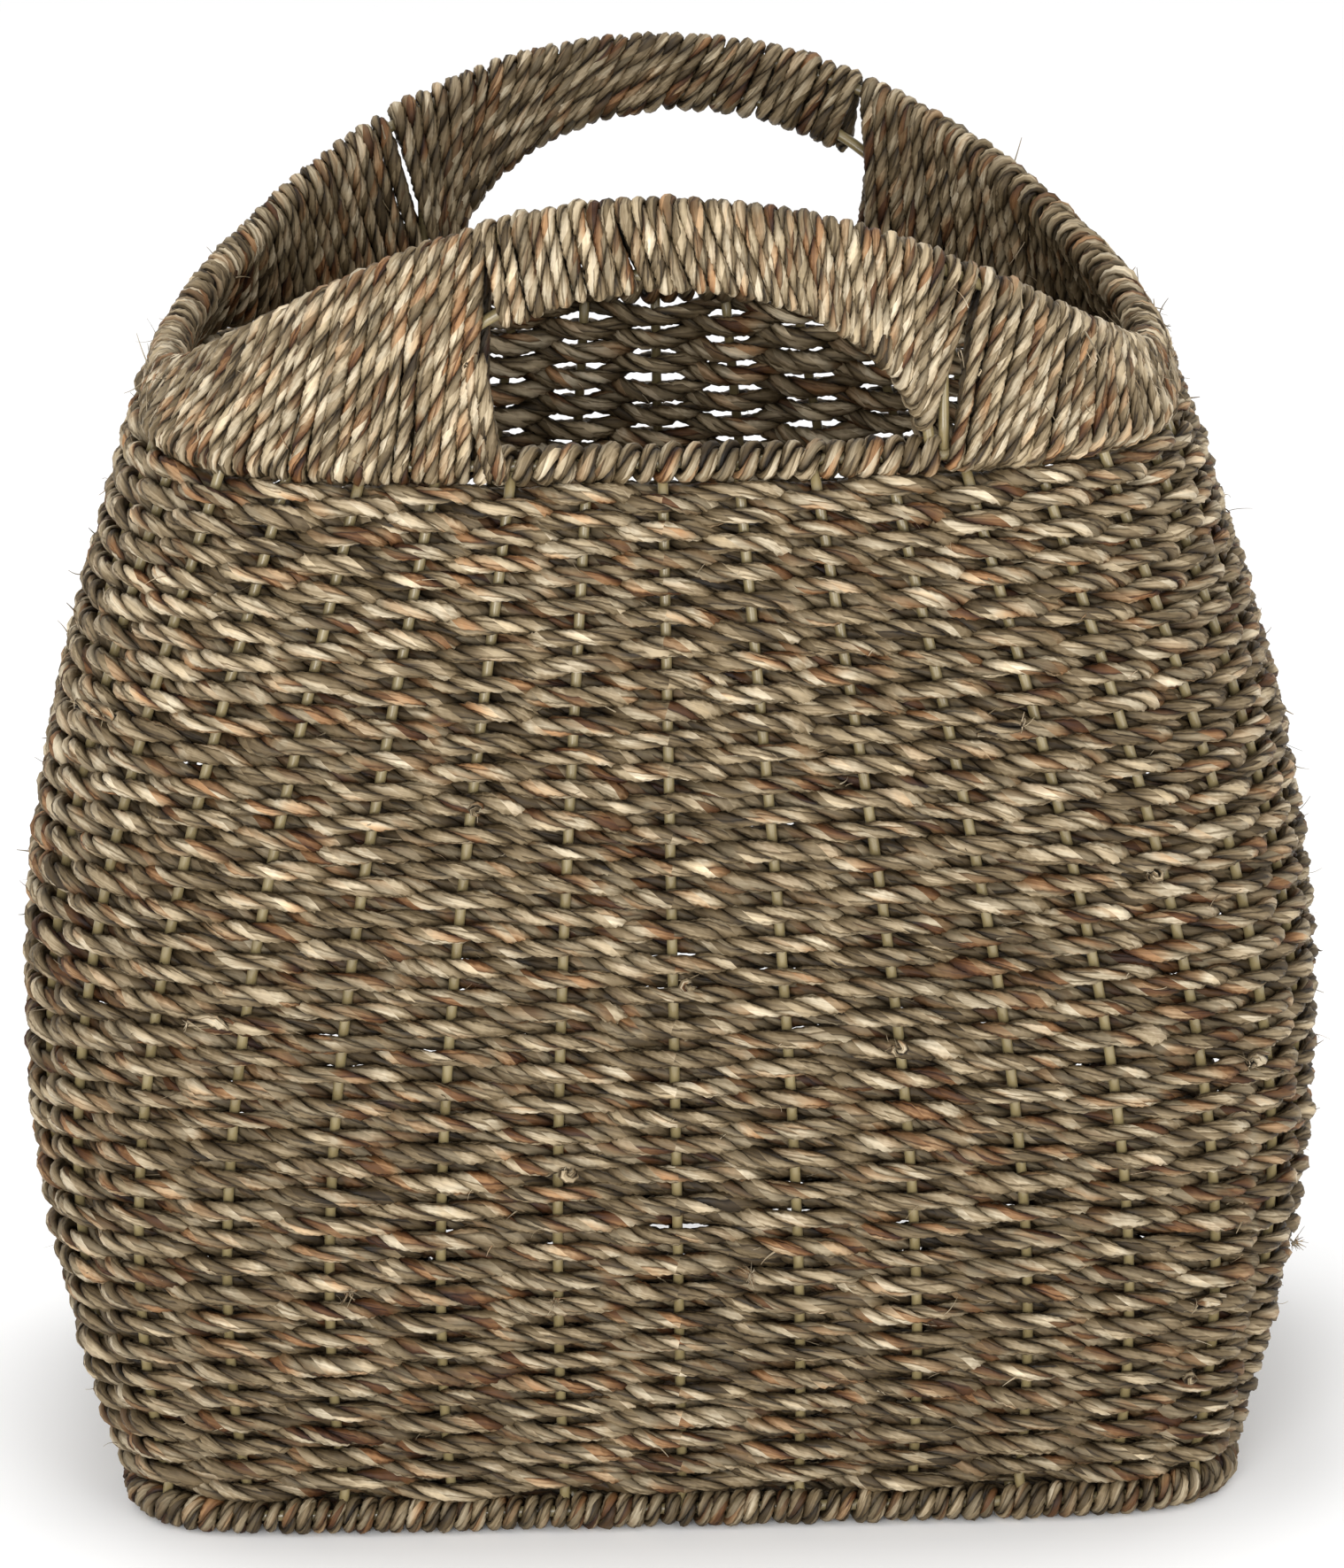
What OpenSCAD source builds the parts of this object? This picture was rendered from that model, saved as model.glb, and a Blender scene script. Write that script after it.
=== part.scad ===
// Seagrass storage basket: cord woven over a bent wire frame, with a wrapped rim and two hand holes.
// X runs along the long side, -Y is the front and Z is up.
// The origin is on the floor, under the middle of the basket.

/* [Base] */
// Width of the base ring, between wire centres
base_w = 339; // [320:1:350]
// Depth of the base ring, between wire centres
base_d = 192; // [180:1:204]
// Squareness of the base outline: higher makes tighter corners
base_corner = 8; // [5:0.5:9]

/* [Wall] */
// How much wider the belly is than a straight wall, on each end
belly_out_w = 33; // [15:1:38]
// How much deeper the belly is than a straight wall, on each face
belly_out_d = 17; // [8:1:22]
// Number of upright stakes, shared out over the four quarters
stakes = 40; // [32:4:44]
// How far the front stakes are spread at the foot of the wall
stake_spread = 0.15; // [0:0.01:0.18]

/* [Top ring] */
// Width of the top ring, between wire centres
ring_w = 304; // [290:1:316]
// Depth of the top ring, between wire centres
ring_d = 198; // [188:1:208]
// Height of the top ring
ring_z = 343.5; // [320:0.5:360]
// Squareness of the top ring outline
ring_corner = 3.9; // [3:0.1:5]

/* [Rim] */
// Width of the rim wire, between wire centres
rim_w = 299; // [285:1:311]
// Depth of the rim wire, between wire centres
rim_d = 204; // [194:1:214]
// Squareness of the rim outline
rim_corner = 2.4; // [2:0.1:3.5]
// Height of the rim wire over the front and back hand holes
rim_top_z = 419.5; // [410:0.5:430]
// Height of the rim wire at the two ends
rim_end_z = 351; // [332:0.5:375]

/* [Hand holes] */
// Height of the arch wire along the lower edge of the front grip
arch_z = 401.5; // [385:0.5:403]
// Height of the arch wire along the lower edge of the back grip
back_arch_z = 405; // [385:0.5:406]
// Half of the span of the arch wire along the top ring
arch_half_span = 79; // [72:0.5:79]
// Distance from the arch's middle to the upright edge of the front hole
hole_upright_x = 54; // [45:1:60]
// Distance from the arch's middle to the upright edge of the back hole
back_upright_x = 60; // [45:1:62]
// How far the back hole lies towards +X
back_shift = 10; // [0:0.5:10]
// Distance from the arch's middle to the strut beside each foot of the arch
strut_x = 83; // [83:0.5:86]

/* [Wire and cord] */
// Diameter of the rings, rim, arches and struts
wire_d = 3.2; // [2.5:0.1:4]
// Diameter of the stakes and of the wires across the bottom
stake_d = 3; // [2.5:0.1:3.2]
// Thickness of one layer of woven cord
cord_t = 5.2; // [4:0.1:6]
// Thickness of the cord wound round the rim and the base ring
wrap_t = 4.1; // [3:0.1:5]
// Number of wires across the bottom
cross_wires = 9; // [5:2:11]

/* [Hidden] */

play = 0.3;                                // clearance between neighbouring pieces
wrap_r = wire_d / 2 + wrap_t;              // outer radius of a wound wire
hollow_r = wire_d / 2 + play;              // radius of the hollow inside a wound wire
base_z = wrap_r;                           // height of the base ring wire
wall_z = 2 * wrap_r + play;                // foot of the wall weave
wall_top_z = ring_z - wrap_r - play;       // top of the wall weave
stake_gap = stake_d / 2 + play;            // from the stake line to the face of a cord layer
wall_base_w = base_w - 2;                  // stake line at the foot of the wall
wall_base_d = base_d - 4;
quarter = stakes / 4;                      // stakes in each quarter of the outline
end_frac = 0.19;                           // outline fraction where shoulders meet the ends
grip_rim_end = 92;                         // where the grip's tapered end meets the rim
grip_foot_angle = 72;                      // how far down the arch the grip is wound

wire_colour = [0.60, 0.56, 0.44];
weave_colour = [0.50, 0.42, 0.29];
wrap_colour = [0.62, 0.54, 0.40];

// ---- Outlines ----------------------------------------------------------------------------------
// A rounded outline is |x/a|^n + |y/b|^n = 1. A level is its [a, b, n, z].

function outline_point(level, angle) =
    let(c = cos(angle), s = sin(angle))
    let(r = pow(pow(c, level[2]) + pow(s, level[2]), -1 / level[2]))
    [level[0] * s * r, level[1] * c * r];

// Table of [length so far, angle] over a quarter of the outline, from the middle of the front
function quarter_table(level, i = 0, length = 0, table = []) =
    let(step = 5, here = outline_point(level, i * step), before = outline_point(level, max(i - 1, 0) * step))
    let(now = length + norm(here - before), grown = concat(table, [[now, i * step]]))
    i * step >= 90 ? grown : quarter_table(level, i + 1, now, grown);

// Point at a fraction of the quarter's length, with x and y both positive
function quarter_point(level, fraction) =
    let(table = quarter_table(level), total = table[len(table) - 1][0])
    outline_point(level, lookup(min(max(fraction, 0), 1) * total, table));

// Point at a fraction of the whole outline: 0 front middle, 0.25 right end, 0.5 back, 0.75 left end
function ring_point(level, fraction) =
    let(f = fraction - floor(fraction), q = floor(f * 4), part = f * 4 - q)
    let(p = quarter_point(level, q % 2 == 0 ? part : 1 - part))
    [q < 2 ? p[0] : -p[0], q == 0 || q == 3 ? -p[1] : p[1], level[3]];

// Fraction of the whole outline at which the front wire reaches a given x
function front_fraction(level, x) =
    let(table = quarter_table(level), total = table[len(table) - 1][0])
    let(y = level[1] * pow(1 - pow(abs(x) / level[0], level[2]), 1 / level[2]))
    let(angle = atan2(abs(x) / level[0], y / level[1]))
    let(pairs = [for (row = table) [row[1], row[0]]])
    sign(x) * lookup(angle, pairs) / total / 4;

// ---- The frame's lines -------------------------------------------------------------------------
function mix(a, b, t) = a + (b - a) * t;
function swell(f) = sin(180 * pow(f, 0.92));

base_level = [base_w / 2, base_d / 2, base_corner, base_z];
ring_level = [ring_w / 2, ring_d / 2, ring_corner, ring_z];
rim_level = [rim_w / 2, rim_d / 2, rim_corner, 0];

// Stake line at height z, moved outwards by out
function wall_level(z, out = 0) =
    let(f = min(max((z - wall_z) / (ring_z - wall_z), 0), 1))
    [
        mix(wall_base_w, ring_w, f) / 2 + belly_out_w * swell(f) + out,
        mix(wall_base_d, ring_d, f) / 2 + belly_out_d * swell(f) + out,
        ring_corner + (base_corner - ring_corner) * pow(1 - f, 4),
        z
    ];

// Rim wire: a saddle, highest at the middle of the front and the back
function rim_point(fraction) =
    let(p = ring_point(rim_level, fraction), u = p[0] / rim_level[0])
    [p[0], p[1], rim_end_z + (rim_top_z - rim_end_z) * (1 - u * u)];

// Leaning surface of the band between the top ring and the rim, over the front: 0 ring, 1 rim
function front_band_point(x, z) =
    let(low = ring_point(ring_level, front_fraction(ring_level, x)))
    let(high = rim_point(front_fraction(rim_level, x)))
    let(t = (z - low[2]) / (high[2] - low[2]))
    [x, mix(low[1], high[1], t), z];

// A hole is [middle x, height of the arch wire, distance to the upright edge]. The back one is
// drawn at the front and turned half a turn.
front_hole = [0, arch_z, hole_upright_x];
back_hole = [-back_shift, back_arch_z, back_upright_x];

// Arch wire: half an ellipse standing on the top ring, by its angle from the middle
function arch_point(hole, angle, foot_gap = 0) =
    let(z = ring_z + (hole[1] - ring_z) * cos(angle))
    front_band_point(hole[0] + arch_half_span * sin(angle), max(z, ring_z + foot_gap));

// ---- Sweeps ------------------------------------------------------------------------------------
// Skin over a list of rings of points, open with end caps or closed on itself
module skin(rings, closed = false) {
    count = len(rings);
    sides = len(rings[0]);
    spans = closed ? count : count - 1;
    walls = [
        for (i = [0 : spans - 1], j = [0 : sides - 1])
            let(k = (j + 1) % sides, n = (i + 1) % count)
            each [
                [i * sides + j, i * sides + k, n * sides + k],
                [i * sides + j, n * sides + k, n * sides + j]
            ]
    ];
    first_cap = [[for (j = [sides - 1 : -1 : 0]) j]];
    last_cap = [[for (j = [0 : sides - 1]) (count - 1) * sides + j]];
    polyhedron(
        points = [for (ring = rings) each ring],
        faces = closed ? walls : concat(walls, first_cap, last_cap),
        convexity = 6
    );
}

function unit(v) = v / norm(v);
function path_direction(path, i, closed) =
    let(n = len(path))
    closed ? unit(path[(i + 1) % n] - path[(i + n - 1) % n])
           : unit(path[min(i + 1, n - 1)] - path[max(i - 1, 0)]);

// Circle of points round a path, seen along its direction
function tube_ring(centre, direction, r, sides, side_hint) =
    let(u = unit(cross(side_hint, direction)), v = cross(direction, u))
    [for (j = [0 : sides - 1]) centre + r * (u * cos(j * 360 / sides) + v * sin(j * 360 / sides))];

module tube(path, d, sides = 8, closed = false, side_hint = [0, 0, 1]) {
    skin(
        [for (i = [0 : len(path) - 1])
            tube_ring(path[i], path_direction(path, i, closed), d / 2, sides, side_hint)],
        closed
    );
}

// ---- Wires -------------------------------------------------------------------------------------
ring_steps = 72;

function loop_path(level) = [for (i = [0 : ring_steps - 1]) ring_point(level, i / ring_steps)];

module base_ring_wire() {
    color(wire_colour) tube(loop_path(base_level), wire_d, closed = true);
}

module top_ring_wire() {
    color(wire_colour) tube(loop_path(ring_level), wire_d, closed = true);
}

module rim_wire() {
    color(wire_colour)
        tube([for (i = [0 : ring_steps - 1]) rim_point(i / ring_steps)], wire_d, closed = true);
}

module base_cross_wires() {
    spacing = base_w / (cross_wires + 1);
    color(wire_colour)
        for (i = [-(cross_wires - 1) / 2 : (cross_wires - 1) / 2]) {
            x = i * spacing;
            reach = base_d / 2 * pow(1 - pow(abs(x) / (base_w / 2), base_corner), 1 / base_corner);
            length = 2 * (reach - wire_d / 2 - play);
            translate([x, 0, base_z])
                rotate([90, 0, 0])
                    cylinder(h = length, d = stake_d, center = true, $fn = 32);
        }
}

// Outline fraction of stake i at height z: the foot is spread along the front and the back
function stake_fraction(i, z) =
    let(f = (z - wall_z) / (ring_z - wall_z), q = floor(i / quarter), u = i / quarter - q)
    let(part = q % 2 == 0 ? u : 1 - u)
    let(spread = part + stake_spread * (1 - max(f, 0)) * sin(180 * part))
    (q + (q % 2 == 0 ? spread : 1 - spread)) / 4;

// A stake runs up the wall from the base ring to the top ring
function stake_path(i) =
    let(foot_z = base_z + wire_d / 2 + play, levels = 8, stop_z = ring_z - wire_d / 2 - play)
    let(foot = ring_point(base_level, stake_fraction(i, wall_z)))
    concat(
        [[foot[0], foot[1], foot_z]],
        [for (k = [0 : levels - 1])
            let(z = mix(wall_z + 6, stop_z, k / (levels - 1)))
            ring_point(wall_level(z), stake_fraction(i, z))]
    );

// Clear of the hand holes the stake goes on from the top ring to the rim
module stake_head(i) {
    low = ring_point(ring_level, i / stakes);
    high = rim_point(i / stakes);
    rise = norm(high - low);
    trim = wire_d / 2 + 2 * play;
    middle = low[1] > 0 ? back_shift : 0;
    if (abs(low[0] - middle) > strut_x + stake_d && rise > 4 * trim)
        tube([mix(low, high, trim / rise), mix(high, low, trim / rise)], stake_d, sides = 6,
            side_hint = [1, 0.01, 0]);
}

module stake(i) {
    tube(stake_path(i), stake_d, sides = 6, side_hint = [1, 0.01, 0]);
    stake_head(i);
}

module stake_group(first, last) {
    color(wire_colour)
        for (i = [first : last])
            stake(i);
}

half_front = ceil(quarter / 2);
module front_stakes() stake_group(-half_front, half_front);
module right_end_stakes() stake_group(half_front + 1, 2 * quarter - half_front - 1);
module back_stakes() stake_group(2 * quarter - half_front, 2 * quarter + half_front);
module left_end_stakes() stake_group(2 * quarter + half_front + 1, 4 * quarter - half_front - 1);

module arch_wire(hole) {
    foot_angle = 88;
    steps = 20;
    color(wire_colour)
        tube(
            [for (i = [0 : steps])
                arch_point(hole, mix(-foot_angle, foot_angle, i / steps), wire_d + play)],
            wire_d,
            side_hint = [0, 1, 0]
        );
}

// A strut stands between the top ring and the rim
module hole_strut(x) {
    low = front_band_point(x, ring_z + wire_d / 2 + play);
    top_z = rim_point(front_fraction(rim_level, x))[2];
    high = front_band_point(x, top_z - wire_d - play);
    tube([low, high], stake_d, side_hint = [0, 1, 0]);
}

module hole_struts(hole) {
    color(wire_colour) {
        hole_strut(hole[0] - strut_x);
        hole_strut(hole[0] + strut_x);
    }
}

module front_arch_wire() arch_wire(front_hole);
module back_arch_wire() rotate(180) arch_wire(back_hole);
module front_hole_struts() hole_struts(front_hole);
module back_hole_struts() rotate(180) hole_struts(back_hole);

// ---- Bottom ------------------------------------------------------------------------------------
module plate_outline(a, b) {
    polygon([for (i = [0 : ring_steps - 1])
        let(p = ring_point([a, b, base_corner, 0], i / ring_steps)) [p[0], p[1]]]);
}

module band_outline(inner, outer) {
    difference() {
        plate_outline(base_w / 2 + outer, base_d / 2 + outer);
        plate_outline(base_w / 2 + inner, base_d / 2 + inner);
    }
}

// Courses below and above the cross wires
module base_weave() {
    layer_h = base_z - stake_gap;
    under_in = wrap_r + play;
    over_in = stake_gap + play;
    color(weave_colour) {
        translate([0, 0, 1])
            linear_extrude(layer_h - 1)
                plate_outline(base_w / 2 - under_in, base_d / 2 - under_in);
        translate([0, 0, base_z + stake_gap])
            linear_extrude(layer_h)
                plate_outline(base_w / 2 - over_in, base_d / 2 - over_in);
    }
}

// Wrapped border, open towards the cross wires and the feet of the stakes; it stands on the floor
module base_border_wrap() {
    sole = base_z - hollow_r;
    bevel = 1.2;
    color(wrap_colour) {
        linear_extrude(bevel)
            band_outline(-wrap_r + bevel, wrap_r - bevel);
        translate([0, 0, bevel])
            linear_extrude(sole - bevel)
                band_outline(-wrap_r, wrap_r);
        translate([0, 0, sole])
            linear_extrude(2 * base_z - sole - bevel)
                band_outline(hollow_r, wrap_r);
        translate([0, 0, 2 * base_z - bevel])
            linear_extrude(bevel)
                band_outline(hollow_r, wrap_r - bevel);
    }
}

// ---- Wall weave --------------------------------------------------------------------------------
wall_steps = 56;
wall_rows = 5;

// One layer of courses, between two distances from the stake line
module weave_layer(low_z, high_z, inner, outer) {
    heights = [for (k = [0 : wall_rows - 1]) mix(low_z, high_z, k / (wall_rows - 1))];
    profile = concat(
        [for (z = heights) [outer, z]],
        [for (k = [wall_rows - 1 : -1 : 0]) [inner, heights[k]]]
    );
    skin(
        [for (i = [0 : wall_steps - 1])
            [for (p = profile) ring_point(wall_level(p[1], p[0]), i / wall_steps)]],
        closed = true
    );
}

// Courses that pass outside and inside the stakes, over one third of the wall
module wall_weave(third) {
    height = (wall_top_z - wall_z) / 3;
    low_z = wall_z + third * height;
    high_z = low_z + height - play;
    color(weave_colour) {
        weave_layer(low_z, high_z, stake_gap, stake_gap + cord_t);
        weave_layer(low_z, high_z, -stake_gap - cord_t, -stake_gap);
    }
}

module lower_wall_weave() wall_weave(0);
module middle_wall_weave() wall_weave(1);
module upper_wall_weave() wall_weave(2);

// ---- Wound cord --------------------------------------------------------------------------------
// Section of the cord wound round two wires, low and high: open below for the stakes to pass
function arc(centre, u, v, r, from, to, steps) =
    [for (i = [0 : steps]) let(a = mix(from, to, i / steps)) centre + r * (u * cos(a) + v * sin(a))];

function open_section(low, high, along) =
    let(v = norm(high - low) < 1 ? [0, 0, 1] : unit(high - low), u = unit(cross(along, v)))
    let(outer_cut = asin(stake_gap / wrap_r), inner_cut = asin(stake_gap / hollow_r))
    concat(
        arc(low, u, v, wrap_r, -90 + outer_cut, 0, 2),
        arc(high, u, v, wrap_r, 0, 180, 6),
        arc(low, u, v, wrap_r, 180, 270 - outer_cut, 2),
        arc(low, u, v, hollow_r, 270 - inner_cut, 180, 1),
        arc(high, u, v, hollow_r, 180, 0, 4),
        arc(low, u, v, hollow_r, 0, -90 + inner_cut, 1)
    );

// Cord wound over a run of stations, each a pair of points [low wire, high wire]
module open_wrap(stations, round_only = false) {
    n = len(stations);
    tops = [for (s = stations) round_only ? s[0] : s[1]];
    color(wrap_colour)
        skin([for (i = [0 : n - 1])
            open_section(stations[i][0], tops[i], path_direction(tops, i, false))]);
}

// Stations up from the top ring to the rim, between [ring fraction, rim fraction] pairs
function band_stations(from, to, steps) =
    [for (i = [0 : steps])
        let(f = mix(from, to, i / steps)) [ring_point(ring_level, f[0]), rim_point(f[1])]];

function at_x(ring_x, rim_x) = [front_fraction(ring_level, ring_x), front_fraction(rim_level, rim_x)];

function upright_edge(hole) = at_x(hole[0] - hole[2], hole[0] - hole[2] + 3);
function tapered_edge(hole) = at_x(hole[0] + strut_x + 4, hole[0] + grip_rim_end + 1.5);
shoulder_end = [end_frac, end_frac];
seam = [0.0005, 0.0005];

module upright_shoulder(hole) open_wrap(band_stations(-shoulder_end, upright_edge(hole), 9));
module tapered_shoulder(hole) open_wrap(band_stations(tapered_edge(hole), shoulder_end, 7));
module front_left_shoulder_wrap() upright_shoulder(front_hole);
module front_right_shoulder_wrap() tapered_shoulder(front_hole);
module back_right_shoulder_wrap() rotate(180) upright_shoulder(back_hole);
module back_left_shoulder_wrap() rotate(180) tapered_shoulder(back_hole);

module right_end_wrap()
    open_wrap(band_stations(shoulder_end + seam, [0.5, 0.5] - shoulder_end - seam, 9));
module left_end_wrap() rotate(180) right_end_wrap();

module sill_wrap(hole) {
    from = front_fraction(ring_level, hole[0] - hole[2] + play);
    to = front_fraction(ring_level, hole[0] + strut_x - stake_d);
    open_wrap(band_stations([from, 0], [to, 0], 8), round_only = true);
}
module front_sill_wrap() sill_wrap(front_hole);
module back_sill_wrap() rotate(180) sill_wrap(back_hole);

// The grip is wound round the rim wire and the arch wire
module grip_wrap(hole) {
    steps = 12;
    from = [-asin((hole[2] - 1) / arch_half_span), 4 - hole[2]];
    to = [grip_foot_angle, grip_rim_end];
    open_wrap([for (i = [0 : steps])
        let(s = mix(from, to, i / steps))
        [arch_point(hole, s[0]), rim_point(front_fraction(rim_level, hole[0] + s[1]))]]);
}
module front_grip_wrap() grip_wrap(front_hole);
module back_grip_wrap() rotate(180) grip_wrap(back_hole);

base_ring_wire();
base_cross_wires();
front_stakes();
right_end_stakes();
back_stakes();
left_end_stakes();
top_ring_wire();
rim_wire();
front_arch_wire();
back_arch_wire();
front_hole_struts();
back_hole_struts();
base_weave();
base_border_wrap();
lower_wall_weave();
middle_wall_weave();
upper_wall_weave();
front_left_shoulder_wrap();
front_right_shoulder_wrap();
back_left_shoulder_wrap();
back_right_shoulder_wrap();
left_end_wrap();
right_end_wrap();
front_grip_wrap();
back_grip_wrap();
front_sill_wrap();
back_sill_wrap();
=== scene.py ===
import math
from collections import namedtuple

import bpy
import numpy as np
from mathutils import Matrix, Vector


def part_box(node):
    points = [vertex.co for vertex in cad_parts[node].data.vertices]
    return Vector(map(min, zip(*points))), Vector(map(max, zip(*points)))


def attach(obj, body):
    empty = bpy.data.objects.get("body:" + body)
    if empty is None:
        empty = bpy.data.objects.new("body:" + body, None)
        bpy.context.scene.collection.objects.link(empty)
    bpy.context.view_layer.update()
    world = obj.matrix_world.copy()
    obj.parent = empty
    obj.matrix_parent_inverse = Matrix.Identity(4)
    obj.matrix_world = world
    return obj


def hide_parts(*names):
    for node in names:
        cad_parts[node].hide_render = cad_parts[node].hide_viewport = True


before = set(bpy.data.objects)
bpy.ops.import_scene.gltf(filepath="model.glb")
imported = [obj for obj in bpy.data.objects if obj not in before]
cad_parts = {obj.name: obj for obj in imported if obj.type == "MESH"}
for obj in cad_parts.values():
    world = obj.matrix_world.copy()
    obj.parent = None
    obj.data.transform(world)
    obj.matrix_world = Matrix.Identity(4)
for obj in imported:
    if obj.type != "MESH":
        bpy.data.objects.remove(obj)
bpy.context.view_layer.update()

# Everything is worked out in millimetres, in the row frame, and written to the meshes in metres.
MM = 0.001


def box_mm(node):
    low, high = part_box(node)
    return np.array(low) / MM, np.array(high) / MM


# ---- Sizes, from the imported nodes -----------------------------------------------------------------
WIRE_D = 3.2          # rings, rim, arches and struts
STAKE_D = 3.0         # stakes and cross wires
COAT = 0.15           # the coating's thickness over the plain wire
WIRE_R = WIRE_D / 2

_low, _high = box_mm("base_ring_wire")
BASE_W, BASE_D = (_high - _low)[:2] - WIRE_D
BASE_Z = (_low[2] + _high[2]) / 2
_low, _high = box_mm("top_ring_wire")
RING_W, RING_D = (_high - _low)[:2] - WIRE_D
RING_Z = (_low[2] + _high[2]) / 2
_low, _high = box_mm("rim_wire")
RIM_W, RIM_D = (_high - _low)[:2] - WIRE_D
RIM_END_Z = _low[2] + WIRE_R
RIM_TOP_Z = _high[2] - WIRE_R
_low, _high = box_mm("front_arch_wire")
ARCH_Z = _high[2] - WIRE_R
ARCH_HALF = (_high[0] - _low[0] - WIRE_D) / 2
_low, _high = box_mm("front_hole_struts")
STRUT_X = (_high[0] - _low[0] - STAKE_D) / 2
_low, _high = box_mm("back_arch_wire")
BACK_ARCH_Z = _high[2] - WIRE_R
BACK_SHIFT = (_low[0] + _high[0]) / 2
_low, _high = box_mm("lower_wall_weave")
WALL_Z = _low[2]
_low, _high = box_mm("base_cross_wires")
CROSS_SPAN = _high[0] - _low[0] - STAKE_D

# How square each outline is: 2 is an ellipse, and a high value is close to a rectangle
BASE_CORNER = 8.0
RING_CORNER = 3.9
RIM_CORNER = 2.4
BELLY_W = 33.0        # how far each end swells past a straight wall
BELLY_D = 17.0        # how far the front and the back do
FOOT_IN = np.array([2.0, 4.0])    # how much smaller than the base ring the wall's foot is
STAKES = 40
QUARTER = STAKES // 4
STAKE_SPREAD = 0.15   # how far the stakes' feet crowd towards the middle of each corner
CROSS_WIRES = 9
END_FRAC = 0.19       # outline fraction where the shoulder wraps meet the end wraps
GRIP_RIM_START = 4.0  # from a hole's upright edge to the grip's first turn, along the rim
GRIP_RIM_END = 92.0   # from a hole's middle to the grip's last turn, along the rim
GRIP_FOOT = 81.0      # angle of the arch wire at the grip's last turn
BARE_ARCH = 9.0       # arch wire left bare at the upright edge of a hole
WRAP_R = BASE_Z       # outer radius of a wound wire

# middle is a hole's own x, arch_z the height of its arch wire and upright the distance from its
# middle to its upright edge. seam is how far past that edge the wrap beside it reaches on the rim, and
# foot how far past the strut the wrap on the other side starts. The back hole is drawn at the front
# and turned half a turn.
Hole = namedtuple("Hole", "middle arch_z upright seam foot")
FRONT_HOLE = Hole(0.0, ARCH_Z, 54.0, 4.5, 2.0)
BACK_HOLE = Hole(-BACK_SHIFT, BACK_ARCH_Z, 60.0, 3.0, -4.0)

# ---- Small tools ----------------------------------------------------------------------------------


def unit(v):
    return v / np.maximum(np.linalg.norm(v, axis=-1, keepdims=True), 1e-9)


def mix(a, b, t):
    return a + (b - a) * t


def smooth_noise(rng, count, knots, loop=False):
    """Smooth values from about -1 to 1 along count samples."""
    knots = max(int(knots), 3)
    k = rng.uniform(-1, 1, knots)
    x = np.linspace(0, knots if loop else knots - 1.001, count, endpoint=not loop)
    i = np.floor(x).astype(int)
    t = x - i
    t = t * t * (3 - 2 * t)
    return mix(k[i % knots], k[(i + 1) % knots], t)


KNOT_BLEND = 0.4      # part of the way between two knots in which sector noise changes


def sector_noise(rng, count, knots, sides, sectors, lay, loop=False):
    """Values from 0 to 1 that vary slowly along a strand and round it, (count, sides). lay is how
    many turns the leaves have gone round the strand at each ring."""
    knots = max(int(knots), 3)
    k = rng.uniform(0, 1, (knots, sectors))
    x = np.linspace(0, knots if loop else knots - 1.001, count, endpoint=not loop)
    i = np.floor(x).astype(int)
    t = (x - i)[:, None]
    t = np.clip((t - (1 - KNOT_BLEND) / 2) / KNOT_BLEND, 0, 1)
    y = (np.arange(sides)[None, :] / sides + lay[:, None]) * sectors
    j = np.floor(y).astype(int)
    s = y - j
    i = i[:, None] % knots
    a = mix(k[i, j % sectors], k[i, (j + 1) % sectors], s)
    b = mix(k[(i + 1) % knots, j % sectors], k[(i + 1) % knots, (j + 1) % sectors], s)
    return mix(a, b, t)


def along(path, loop):
    if loop:
        return np.roll(path, -1, 0) - np.roll(path, 1, 0)
    return np.gradient(path, axis=0)


def resample(path, step, loop, *others):
    """Points about step apart, their total length, and what the others hold at each of them."""
    columns = [o if np.ndim(o) == 2 else np.broadcast_to(o, (len(path),)) for o in others]
    table = np.column_stack([path] + columns)
    if loop:
        table = np.vstack([table, table[:1]])
    s = np.concatenate([[0], np.cumsum(np.linalg.norm(np.diff(table[:, :3], axis=0), axis=1))])
    n = max(int(round(s[-1] / step)), 4)
    at = np.linspace(0, s[-1], n, endpoint=not loop)
    table = np.stack([np.interp(at, s, column) for column in table.T], 1)
    return s[-1], table[:, :3], table[:, 3:6], *table[:, 6:].T


# ---- Mesh pieces ----------------------------------------------------------------------------------
UV_MM = 10            # length along a strand that one unit of its V stands for


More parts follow.
